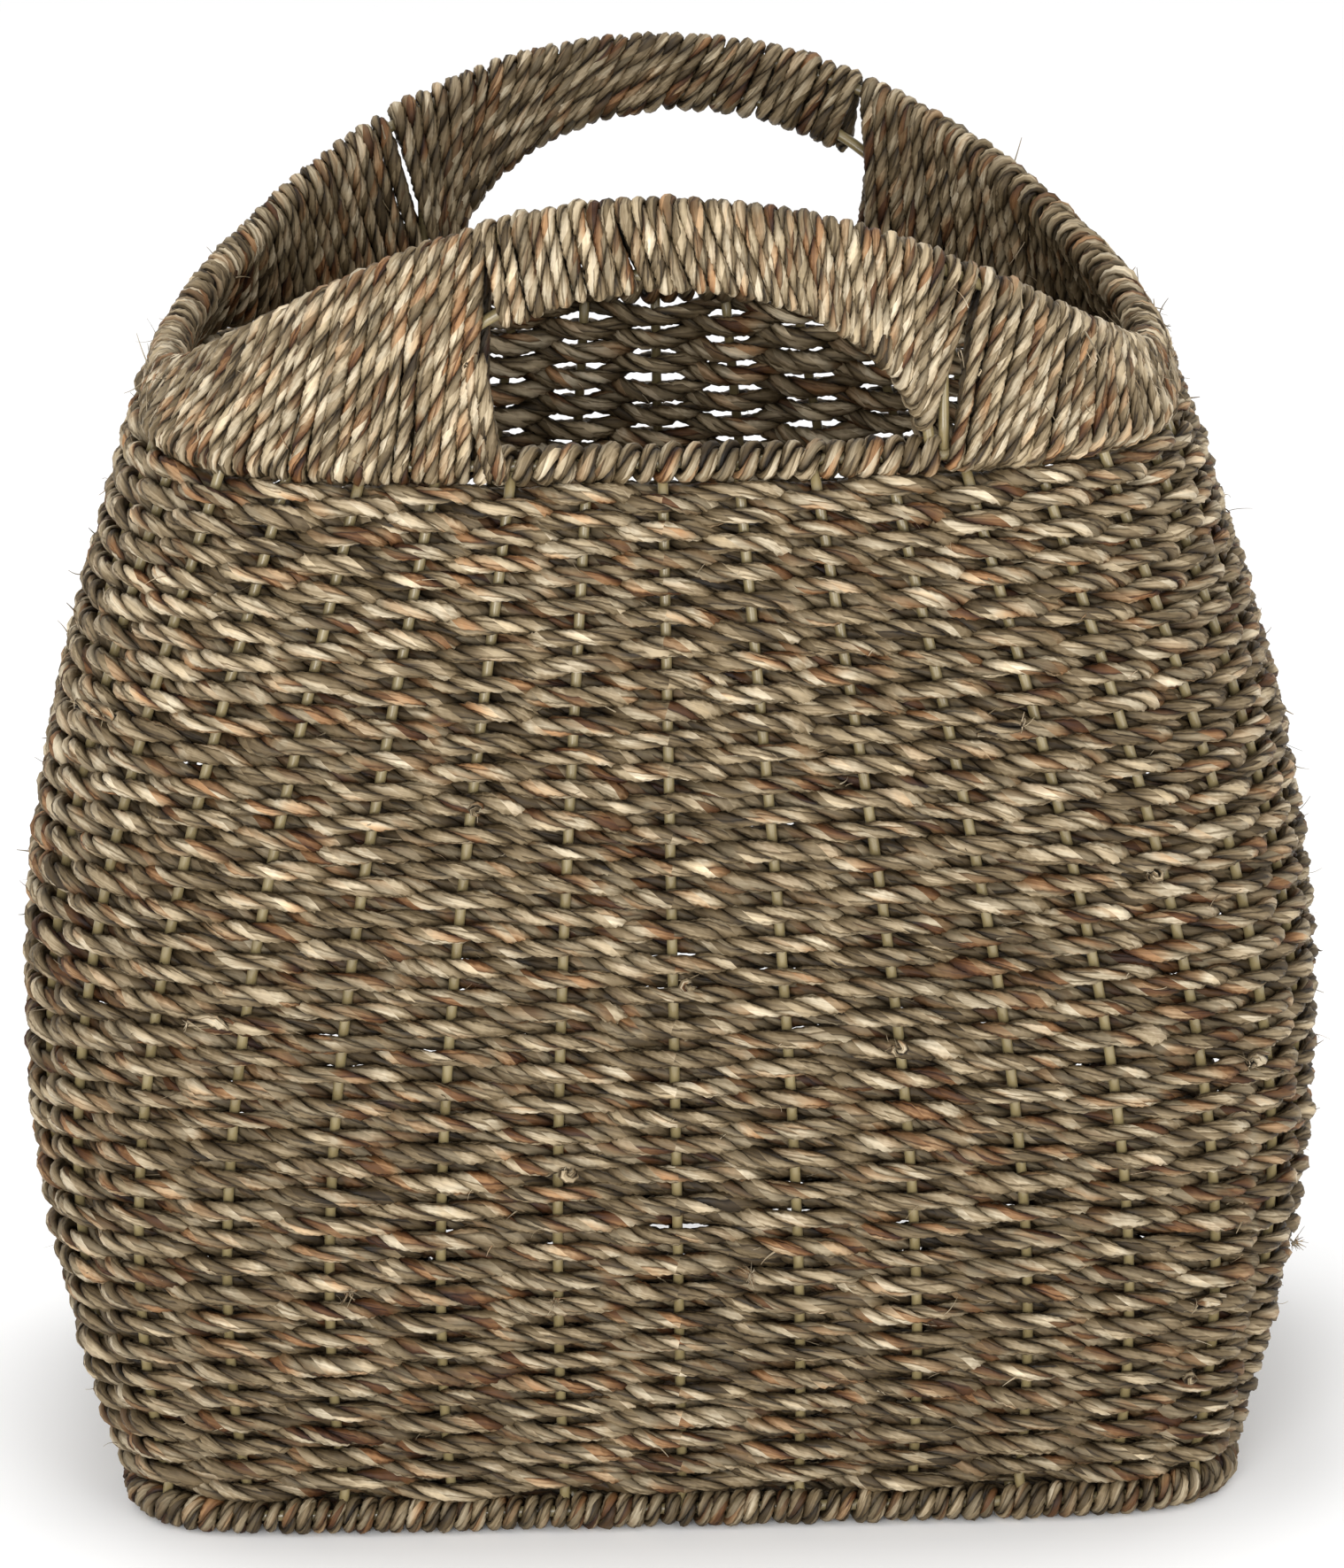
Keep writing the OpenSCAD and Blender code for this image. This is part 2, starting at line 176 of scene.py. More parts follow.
class Piece:
    """Gathers strands, each a run of rings of vertices, into one mesh object."""

    def __init__(self, name, material, slot, *nodes):
        self.name, self.material, self.slot, self.nodes = name, material, slot, nodes
        self.verts, self.faces, self.uvs, self.tones, self.shades = [], [], [], [], []
        self.count = 0

    def strand(self, rings, loop, v_mm, tone, shade):
        """rings is (n, sides, 3), and tone and shade broadcast to (n, sides)."""
        n, sides = rings.shape[:2]
        self.verts.append(rings.reshape(-1, 3))
        self.tones.append(np.broadcast_to(tone, (n, sides)).reshape(-1))
        self.shades.append(np.broadcast_to(shade, (n, sides)).reshape(-1))
        spans = n if loop else n - 1
        i = np.arange(spans)[:, None]
        j = np.arange(sides)[None, :]
        k, m = (j + 1) % sides, (i + 1) % n
        quad = np.stack([i * sides + j, i * sides + k, m * sides + k, m * sides + j], -1)
        v = np.asarray(v_mm) / UV_MM
        v_next = np.append(v[1:], v[-1] + (v[-1] - v[-2]))
        u = np.arange(sides + 1) / sides
        u0, u1 = u[None, :-1] + 0 * i, u[None, 1:] + 0 * i
        v0, v1 = v[:spans, None] + 0 * j, v_next[:spans, None] + 0 * j
        uv = np.stack([np.stack(p, -1) for p in ((u0, v0), (u1, v0), (u1, v1), (u0, v1))], 2)
        self.faces.append(quad.reshape(-1, 4) + self.count)
        self.uvs.append(uv.reshape(-1, 2))
        if not loop:
            for ring, flip in ((0, True), (n - 1, False)):
                for a in range(sides // 2 - 1):
                    q = [a, a + 1, sides - 2 - a, sides - 1 - a]
                    q = q[::-1] if flip else q
                    self.faces.append(np.array([q]) + ring * sides + self.count)
                    self.uvs.append(np.full((4, 2), 0.5))
        self.count += n * sides

    def build(self):
        verts = np.concatenate(self.verts) * MM
        verts[:, 2] = np.maximum(verts[:, 2], 0)
        faces = np.concatenate(self.faces)
        mesh = bpy.data.meshes.new(self.name)
        mesh.vertices.add(len(verts))
        mesh.vertices.foreach_set("co", verts.astype(np.float32).ravel())
        mesh.loops.add(len(faces) * 4)
        mesh.loops.foreach_set("vertex_index", faces.astype(np.int32).ravel())
        mesh.polygons.add(len(faces))
        mesh.polygons.foreach_set("loop_start", np.arange(0, len(faces) * 4, 4, dtype=np.int32))
        mesh.polygons.foreach_set("use_smooth", np.ones(len(faces), bool))
        uv = mesh.uv_layers.new(name="StrandUV")
        uv.data.foreach_set("uv", np.concatenate(self.uvs).astype(np.float32).ravel())
        for name, parts in (("tone", self.tones), ("shade", self.shades)):
            layer = mesh.attributes.new(name, "FLOAT", "POINT")
            layer.data.foreach_set("value", np.concatenate(parts).astype(np.float32))
        mesh.update(calc_edges=True)
        mesh.validate()
        obj = bpy.data.objects.new(self.name, mesh)
        bpy.context.scene.collection.objects.link(obj)
        mesh.materials.append(self.material)
        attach(obj, "root")
        if self.nodes:
            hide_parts(*self.nodes)
        return obj


def across(e1, e2, angles, wide=1.0, tall=1.0):
    """Offsets round an ellipse on the axes e1 and e2, for each ring and angle."""
    c, s = wide * np.cos(angles), tall * np.sin(angles)
    return e1[:, None] * c[None, :, None] + e2[:, None] * s[None, :, None]


def tube(piece, path, radius, sides=10, loop=False, hint=(0.3, 0.2, 0.93)):
    """A plain round tube along a path. hint is any direction that the path never takes."""
    path = np.asarray(path, float)
    t = unit(along(path, loop))
    u = unit(np.cross(np.broadcast_to(hint, t.shape), t))
    v = np.cross(t, u)
    rings = path[:, None] + radius * across(u, v, np.arange(sides) * 2 * np.pi / sides)
    s = np.concatenate([[0], np.cumsum(np.linalg.norm(np.diff(path, axis=0), axis=1))])
    piece.strand(rings, loop, s, 0.5, 1)


TURN_RINGS = 12       # rings of vertices in one turn of a cord
PLY_SIDES = 8
LEAF_LAY = 0.036      # turns per mm that the leaves make in a ply, against the twist of the cord
# Each irregularity has its size and the length in mm over which it changes
TWIST_DRIFT, TWIST_RUN = 0.8, 30      # radians by which the twist runs ahead or lags
CORD_SWELL, CORD_RUN = 0.15, 22       # of the cord's thickness
PLY_SWELL, PLY_RUN = 0.16, 10         # of a ply's thickness
FOLD_SWELL, FOLD_RUN = 0.30, 6        # of a ply's radius, where leaves are folded in
TONE_RUN = 16
GLOW_RUN = 9
GLOW_LOW, GLOW_SPAN = 0.62, 0.76      # lightness of a patch of leaves
CLEFT_PAINTED_SHADE = 0.10                    # painted shade: lightness where the two plies meet
HIDDEN_PAINTED_SHADE = 0.25                   # painted shade: lightness of what faces the inside of the weave or wrap
BARE_DEPTH = 6.5                      # mm out of the wall at which a cord has no painted shade left
TIP_SIZE, TIP_RINGS = 0.45, 2         # how the plies narrow at a cord's cut end


def cord(piece, rng, path, out, twist=20.0, spread=1.3, ply=(1.5, 1.8), loop=False,
         flat=1.0, slim=1.0, painted_shade=1.0, depth=None):
    """A two-ply twisted cord. out points away from the basket, and flat squeezes it along out. twist
    is the length of a turn, spread the distance from the cord's middle to a ply's, and ply the half
    thickness and half width of a ply. slim is a factor on its thickness and bright one on its
    lightness that paints shade on it, and depth is how far out of the wall it runs, each one value
    or one for each point. Its lightness also holds painted shade on the plies' flanks and where
    it lies deep."""
    woven = depth is not None
    length, p, o, gauge, painted_shade, depth = resample(
        path, twist / TURN_RINGS, loop, out, slim, painted_shade, depth if woven else 0.0)
    n = len(p)
    t = unit(along(p, loop))
    o = unit(o - t * (o * t).sum(1, keepdims=True))
    up = np.cross(o, t)
    turns = max(round(length / twist), 1) if loop else length / twist
    s = np.linspace(0, length, n, endpoint=not loop)
    theta = -2 * np.pi * turns * s / length + rng.uniform(0, 2 * np.pi)
    theta = theta + TWIST_DRIFT * smooth_noise(rng, n, length / TWIST_RUN, loop)
    fat = gauge * (1 + CORD_SWELL * smooth_noise(rng, n, length / CORD_RUN, loop))
    a = np.arange(PLY_SIDES) * 2 * np.pi / PLY_SIDES
    lay = s * LEAF_LAY
    if loop:
        lay = s / length * round(length * LEAF_LAY)
    for k in range(2):
        th = theta + np.pi * k
        radial = np.cos(th)[:, None] * o * flat + np.sin(th)[:, None] * up
        c = p + radial * (spread * fat)[:, None]
        pt = unit(along(c, loop))
        e1 = unit(radial - pt * (radial * pt).sum(1, keepdims=True))
        e2 = np.cross(pt, e1)
        size = fat * (1 + PLY_SWELL * smooth_noise(rng, n, length / PLY_RUN, loop))
        folds = sector_noise(rng, n, length / FOLD_RUN, PLY_SIDES, PLY_SIDES, 0 * s, loop)
        r = size[:, None] * (1 + FOLD_SWELL * (folds - 0.5))
        if not loop:
            ends = np.minimum(np.arange(n), np.arange(n)[::-1])
            r = r * np.clip(TIP_SIZE + (1 - TIP_SIZE) * ends / TIP_RINGS, 0, 1)[:, None]
        rings = c[:, None] + r[..., None] * across(e1, e2, a, *ply)
        tone = sector_noise(rng, n, length / TONE_RUN, PLY_SIDES, 3, lay, loop)
        glow = GLOW_LOW + GLOW_SPAN * sector_noise(rng, n, length / GLOW_RUN, PLY_SIDES, 3, lay, loop)
        # Painted shade: each ply is painted darker towards its flanks, darkest where the two plies meet
        apart = np.clip(((1 + np.cos(a)) / 2 - 0.12) / 0.6, 0, 1)[None, :]
        # Painted shade: what lies deep in the weave, or on a wound cord's sides, is painted darker
        lift = ((rings - p[:, None]) * o[:, None]).sum(-1)
        if woven:
            facing = np.tanh(2.5 * ((rings - c[:, None]) * o[:, None]).sum(-1) / ply[1])
            bare = 0.5 + 0.5 * facing * np.clip((depth[:, None] + lift) / BARE_DEPTH, -1, 1)
        else:
            bare = np.clip(0.5 + 0.5 * lift / (spread + ply[0]), 0, 1)
        cleft = CLEFT_PAINTED_SHADE + (1 - CLEFT_PAINTED_SHADE) * apart
        # shade is painted shade from the factor, the cleft and the depth, times random lighter patches of
        # leaves
        shade = painted_shade[:, None] * cleft * glow * (HIDDEN_PAINTED_SHADE + (1 - HIDDEN_PAINTED_SHADE) * bare ** 1.4)
        piece.strand(rings, loop, s + rng.uniform(0, 500), tone, shade)


# ---- Outlines -------------------------------------------------------------------------------------
def quarter_outline(a, b, corner, parts):
    """x and y, both positive, at fractions of a quarter's length from the middle of the front."""
    g = np.radians(np.linspace(0, 90, 361))
    c, s = np.abs(np.cos(g)), np.sin(g)
    r = (c ** corner + s ** corner) ** (-1 / corner)
    x, y = a * s * r, b * c * r
    length = np.concatenate([[0], np.cumsum(np.hypot(np.diff(x), np.diff(y)))])
    length /= length[-1]
    return np.interp(parts, length, x), np.interp(parts, length, y)


def ring_xy(a, b, corner, fraction):
    """x and y at fractions of the whole outline, anticlockwise from the middle of the front."""
    f = np.mod(fraction, 1)
    q = np.floor(f * 4).astype(int)
    part = f * 4 - q
    x, y = quarter_outline(a, b, corner, np.where(q % 2 == 0, part, 1 - part))
    return np.where(q < 2, x, -x), np.where((q == 0) | (q == 3), -y, y)


def front_fraction(a, b, corner, x):
    """Fraction of the whole outline at which its front reaches x."""
    f = np.linspace(0, 0.25, 1001)
    xs, _ = ring_xy(a, b, corner, f[:-1])
    return np.sign(x) * np.interp(np.abs(x), np.append(xs, a), f)


def ring_point(fraction):
    x, y = ring_xy(RING_W / 2, RING_D / 2, RING_CORNER, fraction)
    return np.stack([x, y, np.full_like(x, RING_Z)], -1)


def rim_point(fraction):
    x, y = ring_xy(RIM_W / 2, RIM_D / 2, RIM_CORNER, fraction)
    z = RIM_END_Z + (RIM_TOP_Z - RIM_END_Z) * (1 - (2 * x / RIM_W) ** 2)
    return np.stack([x, y, z], -1)


def ring_fraction(x):
    return front_fraction(RING_W / 2, RING_D / 2, RING_CORNER, x)


def rim_fraction(x):
    return front_fraction(RIM_W / 2, RIM_D / 2, RIM_CORNER, x)


def band_point(x, z):
    """On the leaning surface between the top ring and the rim, over the front."""
    x = np.asarray(x, float)
    low, high = ring_point(ring_fraction(x)), rim_point(rim_fraction(x))
    t = (z - low[..., 2]) / (high[..., 2] - low[..., 2])
    return np.stack([x, mix(low[..., 1], high[..., 1], t), np.broadcast_to(z, x.shape)], -1)


ARCH_REST = 3.5       # how far above the top ring's middle an arch wire's feet lie


def arch_point(hole, angle):
    """On a hole's arch wire, at an angle from its top."""
    z = RING_Z + (hole.arch_z - RING_Z) * np.cos(np.radians(angle))
    x = hole.middle + ARCH_HALF * np.sin(np.radians(angle))
    return band_point(x, np.maximum(z, RING_Z + ARCH_REST))


def turned(p):
    return p * np.array([-1, -1, 1])


# ---- The wall's surface, as a fine grid -----------------------------------------------------------
GRID_Z = np.linspace(WALL_Z - 4, RING_Z, 150)
GRID_F = 960


def swell(f):
    """How much of the belly's swell there is at a part of the wall's height."""
    return np.sin(np.pi * np.clip(f, 0, 1) ** 0.92)


def wall_grid():
    """Points of the stakes' surface and its outward directions, by height and then round the wall."""
    fractions = np.arange(GRID_F) / GRID_F
    rows = []
    for z in GRID_Z:
        f = np.clip((z - WALL_Z) / (RING_Z - WALL_Z), 0, 1)
        a = mix(BASE_W - FOOT_IN[0], RING_W, f) / 2 + BELLY_W * swell(f)
        b = mix(BASE_D - FOOT_IN[1], RING_D, f) / 2 + BELLY_D * swell(f)
        x, y = ring_xy(a, b, RING_CORNER + (BASE_CORNER - RING_CORNER) * (1 - f) ** 4, fractions)
        rows.append(np.stack([x, y, np.full(GRID_F, z)], -1))
    p = np.array(rows)
    sideways = np.roll(p, -1, 1) - np.roll(p, 1, 1)
    return p, unit(np.cross(sideways, np.gradient(p, axis=0)))


WALL_P, WALL_N = wall_grid()


def wall_point(fraction, z):
    """Point on the stake surface, and its outward direction."""
    zi = np.clip((z - GRID_Z[0]) / (GRID_Z[1] - GRID_Z[0]), 0, len(GRID_Z) - 1.001)
    fi = np.mod(fraction, 1) * GRID_F
    i, j = np.floor(zi).astype(int), np.floor(fi).astype(int) % GRID_F
    s, t = (zi - i)[..., None], (fi - np.floor(fi))[..., None]
    k = (j + 1) % GRID_F

    def look(g):
        return mix(mix(g[i, j], g[i, k], t), mix(g[i + 1, j], g[i + 1, k], t), s)

    return look(WALL_P), unit(look(WALL_N))


def stake_fraction(i, z):
    """Outline fraction of stake i at a height."""
    f = np.maximum((z - WALL_Z) / (RING_Z - WALL_Z), 0)
    q = np.floor(i / QUARTER)
    u = i / QUARTER - q
    part = np.where(q % 2 == 0, u, 1 - u)
    spread = part + STAKE_SPREAD * (1 - f) * np.sin(np.pi * part)
    return (q + np.where(q % 2 == 0, spread, 1 - spread)) / 4


# ---- Materials ------------------------------------------------------------------------------------
def srgb(r, g, b):
    def one(c):
        c /= 255
        return c / 12.92 if c <= 0.04045 else ((c + 0.055) / 1.055) ** 2.4
    return (one(r), one(g), one(b), 1)


class Nodes:
    """Short names for building a node tree."""

    def __init__(self, name):
        self.mat = bpy.data.materials.new(name)
        self.mat.use_nodes = True
        self.tree = self.mat.node_tree
        self.bsdf = self.tree.nodes["Principled BSDF"]

    def new(self, kind, **values):
        node = self.tree.nodes.new(kind)
        for k, v in values.items():
            if hasattr(node, k):
                setattr(node, k, v)
            else:
                node.inputs[k.replace("_", " ")].default_value = v
        return node

    def link(self, a, b):
        self.tree.links.new(a, b)

    def math(self, operation, a, b=0.0):
        node = self.new("ShaderNodeMath", operation=operation)
        for k, v in enumerate((a, b)):
            if isinstance(v, (int, float)):
                node.inputs[k].default_value = v
            else:
                self.link(v, node.inputs[k])
        return node.outputs[0]

    def ramp(self, fac, stops):
        node = self.new("ShaderNodeValToRGB")
        e = node.color_ramp.elements
        while len(e) < len(stops):
            e.new(0.5)
        for k, (pos, col) in enumerate(stops):
            e[k].position = pos
            e[k].color = col
        self.link(fac, node.inputs[0])
        return node.outputs[0]

    def attribute(self, name):
        node = self.new("ShaderNodeAttribute", attribute_name=name)
        return node.outputs["Fac"]

    def noise(self, vector, scale, detail=2.0, rough=0.5):
        node = self.new("ShaderNodeTexNoise")
        node.inputs["Scale"].default_value = scale
        node.inputs["Detail"].default_value = detail
        node.inputs["Roughness"].default_value = rough
        self.link(vector, node.inputs["Vector"])
        return node.outputs["Fac"]

    def scaled(self, vector, scale):
        node = self.new("ShaderNodeMapping")
        node.inputs["Scale"].default_value = scale
        self.link(vector, node.inputs["Vector"])
        return node.outputs[0]

    def multiply(self, colour, fac):
        node = self.new("ShaderNodeVectorMath", operation="SCALE")
        self.link(colour, node.inputs[0])
        self.link(fac, node.inputs["Scale"])
        return node.outputs[0]

    def bump(self, height, strength, distance):
        node = self.new("ShaderNodeBump")
        node.inputs["Strength"].default_value = strength
        node.inputs["Distance"].default_value = distance
        self.link(height, node.inputs["Height"])
        self.link(node.outputs[0], self.bsdf.inputs["Normal"])


# How the leaves show on a ply. U is a whole turn round it, and V is UV_MM along it.
LEAVES_ROUND = 3.4
LEAF_SLANT = 0.12     # leaves passed in each unit of V
LEAF_WANDER = 2.6     # leaves by which their edges wander
# Painted shade: dark lines where the leaves in a ply fold over each other; the same lines also make the
# bump
CREASE_SHADE_AND_BUMP = [(0.36, (1, 1, 1, 1)), (0.47, (0.62, 0.62, 0.62, 1)), (0.5, (0.36, 0.36, 0.36, 1))]
GRASS = [
    (0.00, srgb(124, 108, 82)),
    (0.20, srgb(150, 133, 104)),
    (0.42, srgb(184, 166, 136)),
    (0.56, srgb(196, 182, 156)),
    (0.70, srgb(178, 153, 120)),
    (0.84, srgb(158, 121, 84)),
    (1.00, srgb(128, 90, 56)),
]
TONE_SHARE, LEAF_SHARE, BLOTCH_SHARE = 0.62, 0.50, 0.35     # what sets a leaf's place in GRASS
BLOTCH_MIDDLE = 0.65
STREAK_LOW, STREAK_SPAN = 0.25, 1.5   # lightness of the fine fibres
LEAF_LOW, LEAF_SPAN = 0.65, 0.7       # lightness of whole leaves


def leaf_uv(n):
    """The strand's UV, sheared so that leaves lie against the twist, and its two parts."""
    raw = n.new("ShaderNodeSeparateXYZ")
    n.link(n.new("ShaderNodeUVMap", uv_map="StrandUV").outputs[0], raw.inputs[0])
    round_ply = n.math("ADD", raw.outputs[0], n.math("MULTIPLY", raw.outputs[1], LEAF_LAY * UV_MM))
    join = n.new("ShaderNodeCombineXYZ")
    n.link(round_ply, join.inputs[0])
    n.link(raw.outputs[1], join.inputs[1])
    return join.outputs[0], round_ply, raw.outputs[1]


def seagrass(name, gain):
    """Twisted dry leaves. gain is the lightness of the whole."""
    n = Nodes(name)
    uv, round_ply, along_ply = leaf_uv(n)

    # Leaves folded into a ply, each with its own colour
    warp = n.noise(n.scaled(uv, (0.8, 0.30, 1)), 1.0)
    leaf = n.math("ADD", n.math("MULTIPLY", round_ply, LEAVES_ROUND),
                  n.math("MULTIPLY", along_ply, LEAF_SLANT))
    leaf = n.math("ADD", leaf, n.math("MULTIPLY", warp, LEAF_WANDER))
    leaf_tint = n.new("ShaderNodeTexWhiteNoise", noise_dimensions="1D")
    n.link(n.math("FLOOR", leaf), leaf_tint.inputs["W"])
    edge = n.math("ABSOLUTE", n.math("SUBTRACT", n.math("FRACT", leaf), 0.5))
    # Painted shade in the creases between leaves
    crease = n.ramp(edge, CREASE_SHADE_AND_BUMP)
    blotch = n.noise(n.scaled(uv, (1.5, 0.35, 1)), 1.0)
    position = n.math("ADD", n.math("MULTIPLY", n.attribute("tone"), TONE_SHARE),
                      n.math("MULTIPLY", leaf_tint.outputs["Value"], LEAF_SHARE))
    blotch = n.math("MULTIPLY", n.math("SUBTRACT", blotch, BLOTCH_MIDDLE), BLOTCH_SHARE)
    colour = n.ramp(n.math("ADD", position, blotch), GRASS)

    # Lightness of the fibres and the leaf, with painted shade in the creases and on the cord
    streak = n.noise(n.scaled(uv, (16, 0.45, 1)), 1.0, 3.0, 0.6)
    streak_gain = n.math("ADD", n.math("MULTIPLY", streak, STREAK_SPAN), STREAK_LOW)
    leaf_split = n.new("ShaderNodeSeparateXYZ")
    n.link(leaf_tint.outputs["Color"], leaf_split.inputs[0])
    leaf_gain = n.math("ADD", n.math("MULTIPLY", leaf_split.outputs[1], LEAF_SPAN), LEAF_LOW)
    light = n.math("MULTIPLY", n.math("MULTIPLY", streak_gain, crease),
                   n.math("MULTIPLY", n.attribute("shade"), leaf_gain))

    # Painted shade: where the lightness is low, mostly from painted shade, the colour is made darker and
    # deeper
    deepen = n.new("ShaderNodeGamma")
    n.link(colour, deepen.inputs["Color"])
    n.link(n.math("SUBTRACT", 2.0, n.math("MINIMUM", light, 1.0)), deepen.inputs["Gamma"])
    n.link(n.multiply(deepen.outputs[0], n.math("MULTIPLY", light, gain)), n.bsdf.inputs["Base Color"])
    n.link(n.math("ADD", n.math("MULTIPLY", streak, 0.3), 0.42), n.bsdf.inputs["Roughness"])
    n.bsdf.inputs["Specular IOR Level"].default_value = 0.25
    n.bump(n.math("ADD", streak, n.math("MULTIPLY", crease, 0.8)), 0.5, 0.0006)
    return n.mat


def coated_wire(name):
    """Pale powder coat over steel wire."""
    n = Nodes(name)
    where = n.new("ShaderNodeTexCoord").outputs["Object"]
    mottle = n.noise(where, 90.0, 3.0)
    colour = n.ramp(mottle, [(0.3, srgb(120, 106, 72)), (0.7, srgb(146, 131, 92))])
    n.link(colour, n.bsdf.inputs["Base Color"])
    n.link(n.math("ADD", n.math("MULTIPLY", mottle, 0.2), 0.2), n.bsdf.inputs["Roughness"])
    n.bsdf.inputs["Coat Weight"].default_value = 0.3
    n.bsdf.inputs["Coat Roughness"].default_value = 0.15
    n.bump(n.noise(where, 900.0), 0.15, 0.0003)
    return n.mat


WALL_GRASS = seagrass("seagrass_wall", 0.80)
WRAP_GRASS = seagrass("seagrass_wrap", 0.80)
WIRE = coated_wire("coated_wire")


# ---- Wires ----------------------------------------------------------------------------------------
WIRE_SIDES = 12
STAKE_SIDES = 10
LOOP = np.arange(240) / 240


def wire_piece(name, node):
    return Piece(name, WIRE, "frame_wire", node)


def base_point(fraction):
    x, y = ring_xy(BASE_W / 2, BASE_D / 2, BASE_CORNER, fraction)
    return np.stack([x, y, np.full_like(x, BASE_Z)], -1)


def loop_wire(name, node, path):
    p = wire_piece(name, node)
    tube(p, path, WIRE_R + COAT, WIRE_SIDES, True, hint=(0, 0, 1))
    p.build()


def base_reach(across_by, length, width):
    """How far the base ring reaches along one axis, at a distance from its middle on the other."""
    return length / 2 * (1 - (abs(across_by) / (width / 2)) ** BASE_CORNER) ** (1 / BASE_CORNER)


loop_wire("base_ring", "base_ring_wire", base_point(LOOP))
loop_wire("top_ring", "top_ring_wire", ring_point(LOOP))
loop_wire("rim_bar", "rim_wire", rim_point(LOOP))

bars = wire_piece("cross_bars", "base_cross_wires")
CROSS_X = np.linspace(-CROSS_SPAN / 2, CROSS_SPAN / 2, CROSS_WIRES)
for x in CROSS_X:
    reach = base_reach(x, BASE_D, BASE_W) - WIRE_R
    y = np.linspace(-reach, reach, 12)
    tube(bars, np.stack([x + 0 * y, y, BASE_Z + 0 * y], -1), STAKE_D / 2 + COAT, STAKE_SIDES)
bars.build()

HEAD_CLEAR = 14       # past a strut, where stakes start to run on up to the rim
HEAD_PARTS = (0.25, 0.9)    # of the way from the top ring to the rim


def stakes_piece(name, node, first, last):
    """Stakes from the base ring to the top ring, and on to the rim beside the hand holes."""
    p = wire_piece(name, node)
    for i in range(first, last + 1):
        z = np.linspace(WALL_Z + 2, RING_Z - WIRE_R, 26)
        path, _ = wall_point(stake_fraction(i, z), z)
        foot = base_point(stake_fraction(i, np.array([WALL_Z])))
        path = np.vstack([foot + [0, 0, WIRE_R * 0.6], path])
        low = ring_point(np.array([i / STAKES]))[0]
        if abs(low[0] - (BACK_SHIFT if low[1] > 0 else 0)) > STRUT_X + HEAD_CLEAR:
            high = rim_point(np.array([i / STAKES]))[0]
            path = np.vstack([path] + [[mix(low, high, part)] for part in HEAD_PARTS])
        tube(p, path, STAKE_D / 2 + COAT, STAKE_SIDES, hint=(1, 0.01, 0))
    p.build()


HALF = math.ceil(QUARTER / 2)
stakes_piece("stakes_front", "front_stakes", -HALF, HALF)
stakes_piece("stakes_right", "right_end_stakes", HALF + 1, 2 * QUARTER - HALF - 1)
stakes_piece("stakes_back", "back_stakes", 2 * QUARTER - HALF, 2 * QUARTER + HALF)
stakes_piece("stakes_left", "left_end_stakes", 2 * QUARTER + HALF + 1, 4 * QUARTER - HALF - 1)

ARCH_ANGLES = np.linspace(-88, 88, 60)
SIDES = (("front", "left", "right", FRONT_HOLE, lambda p: p), ("back", "right", "left", BACK_HOLE, turned))
for side, _, _, hole, place in SIDES:
    p = wire_piece("arch_" + side, side + "_arch_wire")
    tube(p, place(arch_point(hole, ARCH_ANGLES)), WIRE_R + COAT, WIRE_SIDES, hint=(0, 1, 0))
    p.build()
    p = wire_piece("struts_" + side, side + "_hole_struts")
    for x in (hole.middle - STRUT_X, hole.middle + STRUT_X):
        top = rim_point(np.array([rim_fraction(x)]))[0][2]
        z = np.linspace(RING_Z + WIRE_R, top - WIRE_D, 8)
        tube(p, place(band_point(np.full(8, float(x)), z)), STAKE_D / 2 + COAT, STAKE_SIDES, hint=(0, 1, 0))
    p.build()

# ---- Wall weave -----------------------------------------------------------------------------------
WALL_TOP = RING_Z - WRAP_R - 0.3
PASS_OUT = 4.2        # from the stake line to the middle of a cord that passes it
ROW_EDGE = 2.6        # half a cord, at the foot and the top of the wall
ROW_LIFT = 1.15       # a cord rides a little higher where it passes outside a stake
ROW_PITCH = 4.0       # between rows at the foot
ROW_PITCH_MORE = 1.0  # added at the belly
ROW_DRIFT = 1.3       # up and down, shared by neighbouring rows
ROW_WANDER = 0.6      # up and down, of one row
ROW_STRAY = 0.35      # in and out
ROW_POINTS = 26       # between two stakes
ROW_LOOK = dict(twist=22.5, spread=1.24, ply=(1.9, 2.5))
rng = np.random.default_rng(7)


def row_heights():
    """Heights of the rows' middles, stretched a little to fill the wall."""
    heights = [WALL_Z + ROW_EDGE]
    while True:
        f = (heights[-1] - WALL_Z) / (RING_Z - WALL_Z)
        heights.append(heights[-1] + ROW_PITCH + ROW_PITCH_MORE * math.sin(math.pi * f ** 0.9))
        if heights[-1] > WALL_TOP - ROW_EDGE:
            break
    h = np.array(heights)
    return WALL_Z + ROW_EDGE + (h - h[0]) * (WALL_TOP - WALL_Z - 2 * ROW_EDGE) / (h[-1] - h[0])


ROWS = row_heights()
DRIFT_ROWS = 12
DRIFT_ROUND = 18
drift = rng.uniform(-1, 1, (DRIFT_ROWS, DRIFT_ROUND))


def drift_at(row_part, lap):
    """Slow up and down wander that neighbouring rows share."""
    r = row_part * (DRIFT_ROWS - 1.001)
    i, t = int(r), r - int(r)
    c = lap * DRIFT_ROUND
    j = np.floor(c).astype(int)
    s = c - j
    s = s * s * (3 - 2 * s)
    a = mix(drift[i, j % DRIFT_ROUND], drift[i, (j + 1) % DRIFT_ROUND], s)
    b = mix(drift[i + 1, j % DRIFT_ROUND], drift[i + 1, (j + 1) % DRIFT_ROUND], s)
    return mix(a, b, t) * math.sin(math.pi * row_part) ** 0.5


